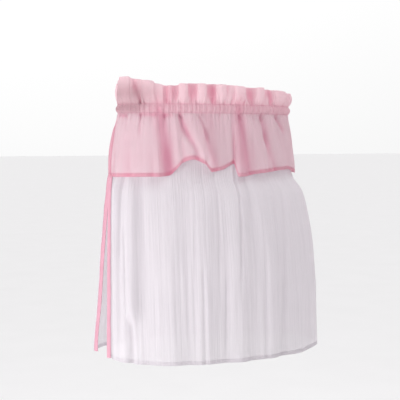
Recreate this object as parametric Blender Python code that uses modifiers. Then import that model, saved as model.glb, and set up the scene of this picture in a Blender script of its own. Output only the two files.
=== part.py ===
"""Mosquito net canopy that hangs from an oval hoop and opens at one end.

A strip of pale pink sheer cloth is gathered round the hoop: a frill stands above the rod pocket and a
valance hangs below it. A strip behind closes the pocket. The white net hangs from the lower seam, with a
pink binding along each upright edge of its opening, and a net panel closes the top.

Metres, +Z up. The origin is the middle of the rod pocket at the canopy's closed end (+X). The hoop
isn't part of the model. Lengths along the cloth ("arc") start at the opening, at the -X end, and run
along the front (-Y), round the closed end and along the back (+Y).
"""
import bmesh
import bpy
import numpy as np


def table(columns, rows):
    """A short table as named columns."""
    return dict(zip(columns.split(), np.array(rows).T))


# ---- The hoop's line, which the pocket follows ----
HOOP_HALF_LENGTH = 0.300
HOOP_HALF_WIDTH = 0.155
HOOP_CENTRE_X = -HOOP_HALF_LENGTH
OPENING_TURN = np.radians(163.0)
HOOP_SAMPLES = 4001

# ---- Cloth ----
CLOTH = 0.0012
GAP = 0.0003
LAYER = CLOTH + GAP
COLUMNS = 144
TOP_COLUMNS = 36
# shares of the width at which each column of a grid stands: the coarse one keeps a narrow column at each edge
FINE_SHARES = np.linspace(0.0, 1.0, COLUMNS + 1)
COARSE_SHARES = FINE_SHARES[[0, *range(1, COLUMNS, 2), COLUMNS]]

# ---- Rod pocket: two layers that meet at a seam above and a seam below the rod ----
SEAM_HEIGHT = 0.013
SEAM_OUT = 0.0022
POCKET_BULGE = 0.0048
# level of each bend of the strip behind the rod, and how far out from the rod's line it lies
POCKET_BACK = table("z out", [
    (0.013, SEAM_OUT - LAYER),
    (0.006, -0.0055),
    (-0.006, -0.0055),
    (-0.0145, SEAM_OUT - 2 * LAYER),
])

# ---- Opening: half the gap between the two edges, at the seams and at the foot of the net ----
HALF_GAP_AT_SEAM = 0.002
HALF_GAP_AT_FOOT = 0.030
FOOT_Z = -0.775

# ---- Frill: one row for each crest or trough, with the height of its top edge above the seam ----
FRILL = table("arc out height", [
    (0.000, 0.001, 0.052),
    (0.035, 0.006, 0.074),
    (0.085, 0.012, 0.083),
    (0.120, -0.003, 0.076),
    (0.152, 0.011, 0.075),
    (0.178, 0.002, 0.066),
    (0.200, -0.005, 0.057),
    (0.213, 0.001, 0.058),
    (0.226, -0.005, 0.057),
    (0.252, 0.010, 0.061),
    (0.287, -0.005, 0.061),
    (0.322, 0.010, 0.061),
    (0.350, -0.005, 0.060),
    (0.385, 0.009, 0.060),
    (0.412, 0.001, 0.059),
    (0.440, 0.009, 0.056),
    (0.500, -0.005, 0.053),
    (0.540, 0.008, 0.054),
    (0.582, -0.005, 0.050),
    (0.640, 0.009, 0.046),
    (0.690, -0.002, 0.040),
    (0.730, 0.009, 0.043),
    (0.770, -0.005, 0.048),
    (0.812, 0.010, 0.054),
    (0.850, -0.004, 0.057),
    (0.902, 0.011, 0.060),
    (0.940, -0.005, 0.058),
    (0.978, 0.008, 0.056),
    (1.012, -0.005, 0.057),
    (1.058, 0.011, 0.060),
    (1.100, -0.004, 0.058),
    (1.136, 0.009, 0.059),
    (1.172, -0.005, 0.056),
    (1.216, 0.010, 0.060),
    (1.254, -0.005, 0.061),
    (1.292, 0.009, 0.063),
    (1.326, -0.004, 0.064),
    (1.366, 0.011, 0.069),
    (1.404, -0.004, 0.070),
    (1.440, 0.008, 0.068),
    (1.466, 0.001, 0.052),
])

# ---- Valance: one row for each fold of its hem, with the drop of the hem below the lower seam ----
VALANCE = table("arc out drop", [
    (0.000, 0.030, 0.196),
    (0.010, 0.024, 0.196),
    (0.030, 0.026, 0.196),
    (0.070, 0.034, 0.195),
    (0.110, 0.038, 0.194),
    (0.150, 0.040, 0.193),
    (0.185, 0.037, 0.193),
    (0.205, 0.026, 0.191),
    (0.225, 0.018, 0.174),
    (0.245, 0.023, 0.152),
    (0.275, 0.036, 0.142),
    (0.305, 0.038, 0.156),
    (0.335, 0.031, 0.180),
    (0.365, 0.020, 0.169),
    (0.400, 0.018, 0.151),
    (0.415, 0.034, 0.196),
    (0.435, 0.038, 0.195),
    (0.470, 0.034, 0.191),
    (0.510, 0.027, 0.186),
    (0.550, 0.034, 0.183),
    (0.595, 0.025, 0.179),
    (0.635, 0.029, 0.177),
    (0.680, 0.024, 0.184),
    (0.720, 0.025, 0.192),
    (0.770, 0.032, 0.190),
    (0.820, 0.023, 0.172),
    (0.860, 0.035, 0.160),
    (0.905, 0.037, 0.187),
    (0.950, 0.024, 0.192),
    (1.000, 0.038, 0.190),
    (1.040, 0.021, 0.170),
    (1.080, 0.035, 0.157),
    (1.125, 0.037, 0.186),
    (1.170, 0.024, 0.193),
    (1.220, 0.038, 0.191),
    (1.260, 0.022, 0.173),
    (1.300, 0.034, 0.162),
    (1.345, 0.037, 0.187),
    (1.395, 0.036, 0.194),
    (1.456, 0.043, 0.196),
    (1.466, 0.036, 0.196),
])

# Rows of the pink strip from the frill's top edge to the hem. seam: level in seam heights; frill and
# valance: shares of their height and drop; puff, bulge and swing: shares of how far each stands out.
HEADING_ROWS = table("seam frill puff bulge valance swing", [
    (1, 1.00, 0.85, 0, 0.00, 0.00),
    (1, 0.66, 1.00, 0, 0.00, 0.00),
    (1, 0.30, 0.60, 0, 0.00, 0.00),
    (1, 0.00, 0.00, 0, 0.00, 0.00),
    (0, 0.00, 0.00, 1, 0.00, 0.00),
    (-1, 0.00, 0.00, 0, 0.00, 0.00),
    (-1, 0.00, 0.00, 0, 0.28, 0.38),
    (-1, 0.00, 0.00, 0, 0.63, 0.74),
    (-1, 0.00, 0.00, 0, 1.00, 1.00),
])

# ---- Net: levels of its rows, and what it stands out at each level, for a few places along it ----
NET_TOP_Z = -0.012
NET_TOP_OUT = SEAM_OUT - LAYER
NET_LEVELS = np.array([NET_TOP_Z, -0.090, -0.175, -0.215, -0.260, -0.330, -0.450, -0.610, FOOT_Z])
NET_SWELL = table("arc top under cover hem below upper middle low foot", [
    (0.000, NET_TOP_OUT, 0.0042, 0.0112, 0.0205, 0.0315, 0.0327, 0.0348, 0.0370, 0.0395),
    (0.010, NET_TOP_OUT, 0.0030, 0.0088, 0.0171, 0.0269, 0.0273, 0.0286, 0.0300, 0.0321),
    (0.035, NET_TOP_OUT, 0.003, 0.008, 0.014, 0.026, 0.028, 0.031, 0.034, 0.037),
    (0.090, NET_TOP_OUT, 0.003, 0.008, 0.014, 0.027, 0.034, 0.041, 0.046, 0.048),
    (0.250, NET_TOP_OUT, 0.003, 0.008, 0.014, 0.037, 0.047, 0.056, 0.062, 0.065),
    (0.480, NET_TOP_OUT, 0.003, 0.008, 0.014, 0.042, 0.057, 0.073, 0.082, 0.084),
    (0.720, NET_TOP_OUT, 0.003, 0.008, 0.018, 0.048, 0.067, 0.087, 0.098, 0.100),
    (1.000, NET_TOP_OUT, 0.003, 0.008, 0.014, 0.040, 0.056, 0.070, 0.080, 0.084),
    (1.250, NET_TOP_OUT, 0.003, 0.009, 0.016, 0.036, 0.048, 0.060, 0.075, 0.088),
    (1.400, NET_TOP_OUT, 0.004, 0.012, 0.026, 0.040, 0.049, 0.062, 0.081, 0.103),
    (1.456, NET_TOP_OUT, 0.0057, 0.0179, 0.0377, 0.0473, 0.0528, 0.0627, 0.0770, 0.0939),
    (1.466, NET_TOP_OUT, 0.0045, 0.0155, 0.0343, 0.0427, 0.0472, 0.0559, 0.0692, 0.0851),
])
# crests and troughs that run down the net, with how far each stands out at the foot
NET_FOLDS = table("arc out", [
    (0.045, 0.000),
    (0.085, 0.004),
    (0.125, -0.004),
    (0.180, 0.004),
    (0.235, -0.003),
    (0.290, 0.004),
    (0.345, -0.004),
    (0.395, 0.005),
    (0.440, -0.006),
    (0.490, 0.005),
    (0.545, -0.003),
    (0.600, 0.005),
    (0.660, -0.004),
    (0.720, 0.004),
    (0.780, -0.004),
    (0.840, 0.005),
    (0.900, -0.004),
    (0.960, 0.005),
    (1.020, -0.005),
    (1.085, 0.004),
    (1.145, -0.004),
    (1.205, 0.005),
    (1.265, -0.004),
    (1.325, 0.004),
    (1.380, -0.003),
    (1.421, 0.000),
])
NET_FOLD_GROWTH = np.array([0.0, 0.0, 0.0, 0.0, 0.35, 0.65, 0.85, 1.0, 1.0])

# ---- Binding folded over each upright edge of the net ----
BINDING_WIDTH = 0.0100
BINDING_WALL = 0.0010
BINDING_SLACK = 0.0007
BINDING_TOP_Z = -0.032
BINDING_CORNERS = 4

# ---- Net panel that closes the top: rings from the rim to the middle ----
TOP_RIM_OUT = 0.0008
TOP_RIM_Z = 0.0144
TOP_RINGS = table("share sag", [
    (1.00, 0.000),
    (0.93, 0.001),
    (0.60, 0.011),
    (0.25, 0.017),
])
TOP_MIDDLE_SAG = 0.019

# ---- Colours, as sRGB hex values, with roughness ----
PINK_SHEER = ("d9a9b5", 0.75)
PINK_BINDING = ("d58fa4", 0.60)
WHITE_NET = ("ece8ec", 0.85)


def hoop_line():
    """Samples of the ellipse x = a cos t, y = b sin t from the opening right round, with arc lengths."""
    turn = OPENING_TURN + np.linspace(0.0, 2 * np.pi, HOOP_SAMPLES)
    x = HOOP_HALF_LENGTH * np.cos(turn)
    y = HOOP_HALF_WIDTH * np.sin(turn)
    arc = np.concatenate([[0.0], np.cumsum(np.hypot(np.diff(x), np.diff(y)))])
    normal = np.stack([x / HOOP_HALF_LENGTH**2, y / HOOP_HALF_WIDTH**2])
    normal /= np.linalg.norm(normal, axis=0)
    return arc, x + HOOP_CENTRE_X, y, normal[0], normal[1]


HOOP = hoop_line()
HOOP_LENGTH = HOOP[0][-1]


def place(arc, out, z):
    """Points at a distance along the hoop's line, out from it along its level normal, and at a height."""
    samples, x, y, normal_x, normal_y = HOOP
    px = np.interp(arc, samples, x) + out * np.interp(arc, samples, normal_x)
    py = np.interp(arc, samples, y) + out * np.interp(arc, samples, normal_y)
    return np.stack([px, py, z * np.ones_like(px)], axis=-1)


def soft_line(x, xs, ys):
    """A smooth line through the rows of a table that never overshoots them: a cubic on each stretch,
    with slope zero at crests and troughs and the harmonic mean of the two stretches' slopes elsewhere."""
    rise = np.diff(ys) / np.diff(xs)
    before, after = rise[:-1], rise[1:]
    same_way = before * after > 0
    both = np.where(same_way, before + after, 1.0)
    slope = np.concatenate([[0.0], np.where(same_way, 2 * before * after / both, 0.0), [0.0]])
    k = np.clip(np.searchsorted(xs, x) - 1, 0, len(xs) - 2)
    width = xs[k + 1] - xs[k]
    t = np.clip((x - xs[k]) / width, 0.0, 1.0)
    start = ys[k] * (1 + 2 * t) * (1 - t) ** 2 + slope[k] * width * t * (1 - t) ** 2
    end = ys[k + 1] * t * t * (3 - 2 * t) + slope[k + 1] * width * t * t * (t - 1)
    return start + end


def along(share, z):
    """Arc of a share 0..1 of the cloth's width, between the two edges of the opening at a height."""
    fall = np.clip(z / FOOT_Z, 0.0, 1.0)
    half_gap = HALF_GAP_AT_SEAM + (HALF_GAP_AT_FOOT - HALF_GAP_AT_SEAM) * fall
    return half_gap + share * (HOOP_LENGTH - 2 * half_gap)


def heading_shape(share, row):
    """The pink strip: frill, front of the pocket and valance."""
    rows = {name: values[row] for name, values in HEADING_ROWS.items()}
    run = share * HOOP_LENGTH
    height = soft_line(run, FRILL["arc"], FRILL["height"])
    drop = soft_line(run, VALANCE["arc"], VALANCE["drop"])
    z = rows["seam"] * SEAM_HEIGHT + rows["frill"] * height - rows["valance"] * drop
    puff = rows["puff"] * soft_line(run, FRILL["arc"], FRILL["out"])
    swing = rows["swing"] * (soft_line(run, VALANCE["arc"], VALANCE["out"]) - SEAM_OUT)
    out = SEAM_OUT + puff + rows["bulge"] * POCKET_BULGE + swing
    return place(along(share, z), out, z)


def pocket_back_shape(share, row):
    """The strip behind the rod, from the upper seam round the rod to the lower seam."""
    z = POCKET_BACK["z"][row]
    return place(along(share, 0.0), POCKET_BACK["out"][row], z)


def net_shape(share, row):
    """The white net, from the lower seam to its foot."""
    z = NET_LEVELS[row]
    run = share * HOOP_LENGTH
    levels = [name for name in NET_SWELL if name != "arc"]
    swell = np.array([soft_line(run, NET_SWELL["arc"], NET_SWELL[name]) for name in levels])
    out = swell[row, np.arange(len(row))]
    fold = NET_FOLD_GROWTH[row] * soft_line(run, NET_FOLDS["arc"], NET_FOLDS["out"])
    return place(along(share, z), out + fold, z)


def top_shape(share, row):
    """A flat ring of the top panel, share of the way from the middle to the rim."""
    ring = TOP_RINGS["share"][row]
    rim = place(share * HOOP_LENGTH, TOP_RIM_OUT, 0.0)
    centre = np.array([HOOP_CENTRE_X, 0.0, 0.0])
    points = centre + ring[:, None] * (rim - centre)
    points[:, 2] = TOP_RIM_Z - TOP_RINGS["sag"][row]
    return points


def binding_shape(side):
    """The binding along one edge: a strip folded round the net's edge, as a function for shaped_grid."""
    edge_share, step = (0.0, 1) if side == "front" else (1.0, -1)
    rows = np.arange(len(NET_LEVELS))
    edge = net_shape(np.full(len(rows), edge_share), rows)
    inner = net_shape(np.full(len(rows), edge_share + step * COARSE_SHARES[1]), rows)
    into = inner - edge
    into[:, 2] = 0.0
    into /= np.linalg.norm(into, axis=1)[:, None]
    outward = step * np.stack([into[:, 1], -into[:, 0], np.zeros(len(rows))], axis=1)
    start = (BINDING_TOP_Z - NET_LEVELS[0]) / (NET_LEVELS[1] - NET_LEVELS[0])
    for line in (edge, into, outward):
        line[0] = line[0] + start * (line[1] - line[0])
    half = CLOTH / 2 + BINDING_SLACK + BINDING_WALL / 2
    fold = -(GAP + BINDING_WALL / 2)
    section = table("into out", [(BINDING_WIDTH, half), (fold, half), (fold, -half), (BINDING_WIDTH, -half)])

    def shape(share, row):
        corner = np.rint(share * (BINDING_CORNERS - 1)).astype(int)
        return (edge[row] + section["into"][corner][:, None] * into[row]
                + section["out"][corner][:, None] * outward[row])

    return shape


def make_material(name, finish):
    """A Principled material from an sRGB hex colour and a roughness."""
    code, roughness = finish
    srgb = np.array([int(code[i:i + 2], 16) for i in (0, 2, 4)]) / 255
    linear = np.where(srgb <= 0.04045, srgb / 12.92, ((srgb + 0.055) / 1.055) ** 2.4)
    material = bpy.data.materials.new(name)
    material.use_nodes = True
    shader = material.node_tree.nodes["Principled BSDF"]
    shader.inputs["Base Color"].default_value = (*linear, 1.0)
    shader.inputs["Roughness"].default_value = roughness
    shader.inputs["Metallic"].default_value = 0.0
    return material


def shaped_grid(name, shares, rows, shape, wall, finish, even=False):
    """A flat grid, with a column at each share of the width, bent to shape(share, row) and thickened."""
    mesh = bpy.data.meshes.new(name)
    grid = bmesh.new()
    bmesh.ops.create_grid(grid, x_segments=len(shares) - 1, y_segments=rows, size=0.5)
    grid.to_mesh(mesh)
    grid.free()
    flat = np.empty(len(mesh.vertices) * 3)
    mesh.vertices.foreach_get("co", flat)
    flat = flat.reshape(-1, 3) + 0.5
    column = np.rint(flat[:, 0] * (len(shares) - 1)).astype(int)
    row = np.rint(flat[:, 1] * rows).astype(int)
    points = shape(shares[column], row)
    mesh.vertices.foreach_set("co", points.ravel())
    mesh.update()
    return add_cloth(name, mesh, wall, finish, even)


def add_cloth(name, mesh, wall, finish, even=False):
    """An object for an open surface, thickened equally to both sides."""
    mesh.materials.append(make_material(name, finish))
    cloth = bpy.data.objects.new(name, mesh)
    CANOPY.objects.link(cloth)
    solidify = cloth.modifiers.new("cloth", "SOLIDIFY")
    solidify.thickness = wall
    solidify.offset = 0.0
    solidify.use_even_offset = even
    return cloth


def top_panel():
    """The oval net panel: rings round a middle point, closed all round."""
    rings = len(TOP_RINGS["share"])
    share = np.tile(np.arange(TOP_COLUMNS) / TOP_COLUMNS, rings)
    row = np.repeat(np.arange(rings), TOP_COLUMNS)
    points = top_shape(share, row)
    middle = [(HOOP_CENTRE_X, 0.0, TOP_RIM_Z - TOP_MIDDLE_SAG)]
    disc = bmesh.new()
    verts = [disc.verts.new(p) for p in points.tolist() + middle]
    for k in range(TOP_COLUMNS):
        n = (k + 1) % TOP_COLUMNS
        for ring in range(rings - 1):
            a, b = ring * TOP_COLUMNS, (ring + 1) * TOP_COLUMNS
            disc.faces.new([verts[a + k], verts[a + n], verts[b + n], verts[b + k]])
        last = (rings - 1) * TOP_COLUMNS
        disc.faces.new([verts[last + k], verts[last + n], verts[-1]])
    mesh = bpy.data.meshes.new("net_top")
    disc.to_mesh(mesh)
    disc.free()
    return add_cloth("net_top", mesh, CLOTH, WHITE_NET)


def build():
    """The six pieces of cloth."""
    section_shares = np.linspace(0.0, 1.0, BINDING_CORNERS)
    shaped_grid("heading_valance", FINE_SHARES, len(HEADING_ROWS["seam"]) - 1, heading_shape,
                CLOTH, PINK_SHEER)
    shaped_grid("pocket_back", COARSE_SHARES, len(POCKET_BACK["z"]) - 1, pocket_back_shape,
                CLOTH, PINK_SHEER)
    shaped_grid("net_wall", COARSE_SHARES, len(NET_LEVELS) - 1, net_shape, CLOTH, WHITE_NET)
    for side in ("front", "back"):
        shaped_grid("binding_" + side, section_shares, len(NET_LEVELS) - 1, binding_shape(side),
                    BINDING_WALL, PINK_BINDING, even=True)
    top_panel()


for old in list(bpy.data.objects):
    bpy.data.objects.remove(old)
CANOPY = bpy.data.collections.new("mosquito_net_canopy")
bpy.context.scene.collection.children.link(CANOPY)
build()
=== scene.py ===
# %% [markdown]
# # A mosquito net canopy with a frilled heading
# The real object is a small bed canopy, sewn from two cloths. White netting hangs from a pink strip of voile
# that is gathered on an oval hoop: a frill stands above the hoop's pocket and a valance hangs below it. The
# net is open at one end, where a pink binding is folded over each edge.
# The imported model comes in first, because it fixes every place and size. Each cloth then gets a finer sheet
# of its own, in the same place, with the gathers, creases and hems that a solid with few faces can't show.

import bpy
import numpy as np
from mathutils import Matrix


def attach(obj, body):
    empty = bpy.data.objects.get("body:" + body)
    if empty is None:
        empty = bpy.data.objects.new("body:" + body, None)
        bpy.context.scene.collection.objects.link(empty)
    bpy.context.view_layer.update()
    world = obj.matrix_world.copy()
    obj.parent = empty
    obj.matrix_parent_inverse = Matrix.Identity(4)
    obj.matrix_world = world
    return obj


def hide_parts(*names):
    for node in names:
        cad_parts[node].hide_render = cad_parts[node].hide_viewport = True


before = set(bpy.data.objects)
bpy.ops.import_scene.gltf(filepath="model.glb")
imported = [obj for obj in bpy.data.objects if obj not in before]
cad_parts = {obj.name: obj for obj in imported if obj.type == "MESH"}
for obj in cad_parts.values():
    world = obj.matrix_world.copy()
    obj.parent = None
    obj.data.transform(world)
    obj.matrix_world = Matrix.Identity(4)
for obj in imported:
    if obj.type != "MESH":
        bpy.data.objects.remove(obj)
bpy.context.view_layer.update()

# %% [markdown]
# ## Measures that every cloth shares
# All the cloth hangs from one oval line, the hoop's, so a point of cloth is best said in cloth terms: how far
# along the hoop's line it is ("arc", from the opening, along the front, round the closed end and along the
# back), how far it stands out from that line, and its height. One function turns these into x, y and z.
# Small tables, in millimetres, hold the folds that are placed one by one. A smooth line that never overshoots
# joins their rows.

# %% The hoop's line, tables and smooth lines
HOOP_HALF_LENGTH = 0.300
HOOP_HALF_WIDTH = 0.155
HOOP_CENTRE_X = -0.300
OPENING_TURN = np.radians(163.0)
HOOP_SAMPLES = 6001
SEAM_HEIGHT = 0.013
SEAM_OUT = 0.0022
NET_TOP_Z = -0.012
FOOT_Z = -0.775
HALF_GAP_AT_SEAM = 0.002
HALF_GAP_AT_FOOT = 0.030


def table(columns, rows):
    """A short table, written in millimetres, as named columns in metres."""
    return dict(zip(columns.split(), np.array(rows, dtype=float).T / 1000))


def hoop_line():
    """Samples of the ellipse x = a cos t, y = b sin t, from the opening right round: arc lengths, x, y and
    the level normal, which is (x / a squared, y / b squared) made one long."""
    turn = OPENING_TURN + np.linspace(0.0, 2 * np.pi, HOOP_SAMPLES)
    x = HOOP_HALF_LENGTH * np.cos(turn)
    y = HOOP_HALF_WIDTH * np.sin(turn)
    arc = np.concatenate([[0.0], np.cumsum(np.hypot(np.diff(x), np.diff(y)))])
    normal = np.stack([x / HOOP_HALF_LENGTH**2, y / HOOP_HALF_WIDTH**2])
    normal /= np.linalg.norm(normal, axis=0)
    return arc, x + HOOP_CENTRE_X, y, normal[0], normal[1]


HOOP = hoop_line()
HOOP_LENGTH = HOOP[0][-1]


def hoop_at(arc):
    """x, y and the level normal's x and y at some arcs of the hoop's line."""
    return [np.interp(arc, HOOP[0], values) for values in HOOP[1:]]


def place(arc, out, z):
    """Points at arc along the hoop's line, moved out along its level normal, at height z."""
    arc, out, z = np.broadcast_arrays(arc, out, z)
    x, y, normal_x, normal_y = hoop_at(arc)
    return np.stack([x + out * normal_x, y + out * normal_y, z], axis=-1)


def soft_line(x, xs, ys):
    """A smooth line through a table's rows: a cubic on each stretch, with slope zero at crests and troughs
    and the harmonic mean of the two stretches' slopes elsewhere, so it never overshoots a row. ys may hold
    many tables at once, with their rows along its last axis."""
    xs, ys = np.asarray(xs, float), np.asarray(ys, float)
    rise = np.diff(ys) / np.diff(xs)
    before, after = rise[..., :-1], rise[..., 1:]
    same_way = before * after > 0
    both = np.where(same_way, before + after, 1.0)
    level = np.zeros((*ys.shape[:-1], 1))
    slope = np.concatenate([level, np.where(same_way, 2 * before * after / both, 0.0), level], axis=-1)
    k = np.clip(np.searchsorted(xs, x) - 1, 0, len(xs) - 2)
    width = xs[k + 1] - xs[k]
    t = np.clip((x - xs[k]) / width, 0.0, 1.0)
    start = ys[..., k] * (1 + 2 * t) * (1 - t) ** 2 + slope[..., k] * width * t * (1 - t) ** 2
    end = ys[..., k + 1] * t * t * (3 - 2 * t) + slope[..., k + 1] * width * t * t * (t - 1)
    return start + end


def along(share, z):
    """Arc of a share 0..1 of the cloth's width, between the two edges of the opening at height z."""
    fall = np.clip(z / FOOT_Z, 0.0, 1.0)
    half_gap = HALF_GAP_AT_SEAM + (HALF_GAP_AT_FOOT - HALF_GAP_AT_SEAM) * fall
    return half_gap + share * (HOOP_LENGTH - 2 * half_gap)


print("hoop line", round(HOOP_LENGTH, 4), "m")

# %% [markdown]
# ## From a grid of points to a mesh
# Every cloth is a function of two parameters, so it can be worked out as whole arrays: one row of the grid
# for each level and one column for each step along the cloth. The mesh then only needs the corners of each
# face. A UV map in metres of flat cloth goes with it, so that weave and stitches have their real size, and
# a point attribute can carry what the shape knows, such as how deep in a fold a point lies.

# %% Grids, flat sizes and named values
def cloth_mesh(name, points, flat, marks=None):
    """A mesh from rows x columns x 3 points. Face corners run top left, bottom left, bottom right, top right,
    which makes the face look outwards. flat is each point's place on the flat cloth, marks named values."""
    rows, columns = points.shape[:2]
    index = np.arange(rows * columns).reshape(rows, columns)
    corners = np.stack([index[:-1, :-1], index[1:, :-1], index[1:, 1:], index[:-1, 1:]], axis=-1)
    corners = corners.reshape(-1, 4)
    mesh = bpy.data.meshes.new(name)
    mesh.from_pydata(points.reshape(-1, 3), [], corners, shade_flat=False)
    uv = mesh.uv_layers.new(name="cloth")
    uv.uv.foreach_set("vector", flat.reshape(-1, 2)[corners.ravel()].ravel().astype(np.float32))
    for mark, values in (marks or {}).items():
        attribute = mesh.attributes.new(mark, "FLOAT", "POINT")
        attribute.data.foreach_set("value", np.ascontiguousarray(values, np.float32).ravel())
    piece = bpy.data.objects.new(name, mesh)
    bpy.context.scene.collection.objects.link(piece)
    return piece


def flat_place(points):
    """Where each point lies on the flat cloth: the mean width of the columns and the mean height of the rows,
    each added up along the grid in metres."""
    across = np.linalg.norm(np.diff(points, axis=1), axis=2).mean(axis=0)
    down = np.linalg.norm(np.diff(points, axis=0), axis=2).mean(axis=1)
    u = np.concatenate([[0.0], np.cumsum(across)])
    v = np.concatenate([[0.0], np.cumsum(down)])
    return np.stack(np.broadcast_arrays(u[None, :], -v[:, None]), axis=-1)


def flat_size(points):
    """Width and height of the flat cloth, in metres."""
    flat = flat_place(points)
    return float(flat[0, -1, 0]), float(-flat[-1, 0, 1])


# %% [markdown]
# ## Gathers and creases
# Gathering draws a wide cloth onto a short line, so it stands in many small waves of uneven width and depth.
# A cosine whose phase turns once for each gather gives them, with widths and depths drawn from a seeded
# generator. The voile has a fine and a wide set, and both cross its two seams. Soft noise adds streaks that
# start and end anywhere. Larger creases are placed one by one: each is a soft trough or ridge along a line on
# the cloth, so a row of a table says where it starts and ends, how wide it is and how far it stands out.

# %% Small waves and listed creases
# the voile's two sets of gathers: mean width and seed
FINE_GATHERS = (0.0078, 11)
WIDE_GATHERS = (0.0150, 12)


def gathers(arc, mean_width, seed, evenness=0.45):
    """Waves of about one unit: cos(phase) times a depth. The phase turns once for each gather, whose width is
    mean_width times 1 - evenness to 1 + evenness, and the depth of each lies between 0.5 and 1."""
    draw = np.random.default_rng(seed)
    count = int(1.3 * HOOP_LENGTH / mean_width)
    widths = mean_width * draw.uniform(1 - evenness, 1 + evenness, count)
    edges = np.concatenate([[0.0], np.cumsum(widths)]) - 0.1 * HOOP_LENGTH
    phase = np.interp(arc, edges, 2 * np.pi * np.arange(count + 1))
    depth = np.interp(arc, edges[:-1] + widths / 2, draw.uniform(0.5, 1.0, count))
    return depth * np.cos(phase)


# where the grid of soft noise starts, above and beside the cloth
NOISE_TOP = 0.12
NOISE_BESIDE = 0.05


def soft_noise(arc, z, arc_step, z_step, seed):
    """Even, aimless unevenness from -1 to 1: random numbers on a grid with the given steps, joined between
    its corners by 3 t t - 2 t t t both ways. Each row is moved along by its own random part of a step."""
    draw = np.random.default_rng(seed)
    columns = int(np.ceil(1.1 * HOOP_LENGTH / arc_step)) + 2
    rows = int(np.ceil(1.1 / z_step)) + 2
    grid = draw.uniform(-1.0, 1.0, (rows, columns))
    moved = draw.uniform(0.0, 1.0, rows)
    down = (NOISE_TOP - z) / z_step
    row = np.clip(np.floor(down).astype(int), 0, rows - 2)
    t = down - row
    t = t * t * (3 - 2 * t)

    def across(row):
        step = np.clip((arc + NOISE_BESIDE) / arc_step + moved[row], 0, columns - 1.001)
        column = np.floor(step).astype(int)
        u = step - column
        u = u * u * (3 - 2 * u)
        return grid[row, column] * (1 - u) + grid[row, column + 1] * u

    return across(row) * (1 - t) + across(row + 1) * t


def streaks(arc, z, rows):
    """A sum of soft noises, from rows of width, height, depth and seed."""
    return sum(depth * soft_noise(arc, z, width, height, seed) for width, height, depth, seed in rows)


def drift(arc, z, reach, seed):
    """A slow sideways wander of the gathers as they run down: a sum of three sines of arc and height."""
    draw = np.random.default_rng(seed)
    total = np.zeros(np.broadcast(arc, z).shape)
    for turns_along, turns_down in ((5.0, 1.1), (11.0, 2.3), (23.0, 3.7)):
        start = draw.uniform(0.0, 2 * np.pi, 2)
        wave = np.sin(turns_along * arc + start[0]) * np.sin(turns_down * z + start[1])
        total += reach / 3 * wave
    return total


def creases(arc, z, rows):
    """The sum of soft troughs and ridges, from rows in millimetres. Each is depth * exp(-(distance / width)
    squared) from the line between its two ends, and it fades over a quarter of its length past each end."""
    total = np.zeros(np.broadcast(arc, z).shape)
    for start_arc, start_z, end_arc, end_z, width, depth in np.array(rows) / 1000:
        dx, dz = end_arc - start_arc, end_z - start_z
        length = np.hypot(dx, dz)
        share = ((arc - start_arc) * dx + (z - start_z) * dz) / length**2
        away = ((arc - start_arc) * dz - (z - start_z) * dx) / length
        past = np.maximum(0.0, np.abs(share - 0.5) - 0.5) / 0.25
        total += depth * np.exp(-((away / width) ** 2) - past**2)
    return total


def looped(arc, rows, lean):
    """Sideways shift that turns waves into loops: between a crest and a trough, lean * their distance *
    sin(2 pi t), which widens both and narrows the mouth between them."""
    k = np.clip(np.searchsorted(rows, arc) - 1, 0, len(rows) - 2)
    width = rows[k + 1] - rows[k]
    t = np.clip((arc - rows[k]) / width, 0.0, 1.0)
    return lean * width * np.sin(2 * np.pi * t)


def hollow(points_out, columns_wide, full_depth):
    """How deep a point lies in its fold, the mark for painted shade: 0 on crests, 1 at full_depth below the
    mean of the cloth round it, which is a running mean over an odd number of columns along each row."""
    box = np.ones(columns_wide) / columns_wide
    padded_out = np.pad(points_out, ((0, 0), (columns_wide // 2, columns_wide // 2)), "edge")
    mean = np.apply_along_axis(lambda row: np.convolve(row, box, "valid"), 1, padded_out)
    return np.clip((mean - points_out) / full_depth, 0.0, 1.0)


# %% [markdown]
# ## Camera
# The photograph looks at the long front from about 30 degrees towards the open end, from just below the hoop:
# the seams fall away to the right above the eye's height, and the hems rise to the right below it. That and
# the sizes set the distance and the lens. The camera turns down a little and needs no shift.

# %% The camera
CAMERA_TURN = np.radians(-30.0)
CAMERA_AWAY = 3.2
EYE_Z = -0.099
FOCAL_PIXELS = 988.0
FRAME_PIXELS = 400
HORIZON_Y = 141.0
HOOP_X = 205.6

back = np.array([np.sin(CAMERA_TURN), -np.cos(CAMERA_TURN), 0.0])
camera_data = bpy.data.cameras.new("camera")
camera_data.sensor_width = 36.0
camera_data.lens = camera_data.sensor_width * FOCAL_PIXELS / FRAME_PIXELS
camera = bpy.data.objects.new("camera", camera_data)
bpy.context.scene.collection.objects.link(camera)
camera.location = np.array([HOOP_CENTRE_X, 0.0, EYE_Z]) + CAMERA_AWAY * back
pitch = np.arctan((FRAME_PIXELS / 2 - HORIZON_Y) / FOCAL_PIXELS)
yaw = np.arctan((HOOP_X - FRAME_PIXELS / 2) / FOCAL_PIXELS)
camera.rotation_euler = (np.pi / 2 - pitch, 0.0, CAMERA_TURN + yaw)
bpy.context.scene.camera = camera
print("lens", round(camera_data.lens, 1), "mm, looking down", round(np.degrees(pitch), 2), "degrees")

# %% [markdown]
# ## The pink heading
# One strip of voile makes the frill, the front of the rod pocket and the valance. Its top edge is a fold, so
# the frill has two layers with air between them, and its lower edge is turned up behind as a hem. The strip
# could be draped by a simulation, but its folds would fall anywhere; here each fold stands where the
# photograph has it, so its section is followed row by row, and tables give each fold its place.

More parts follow.
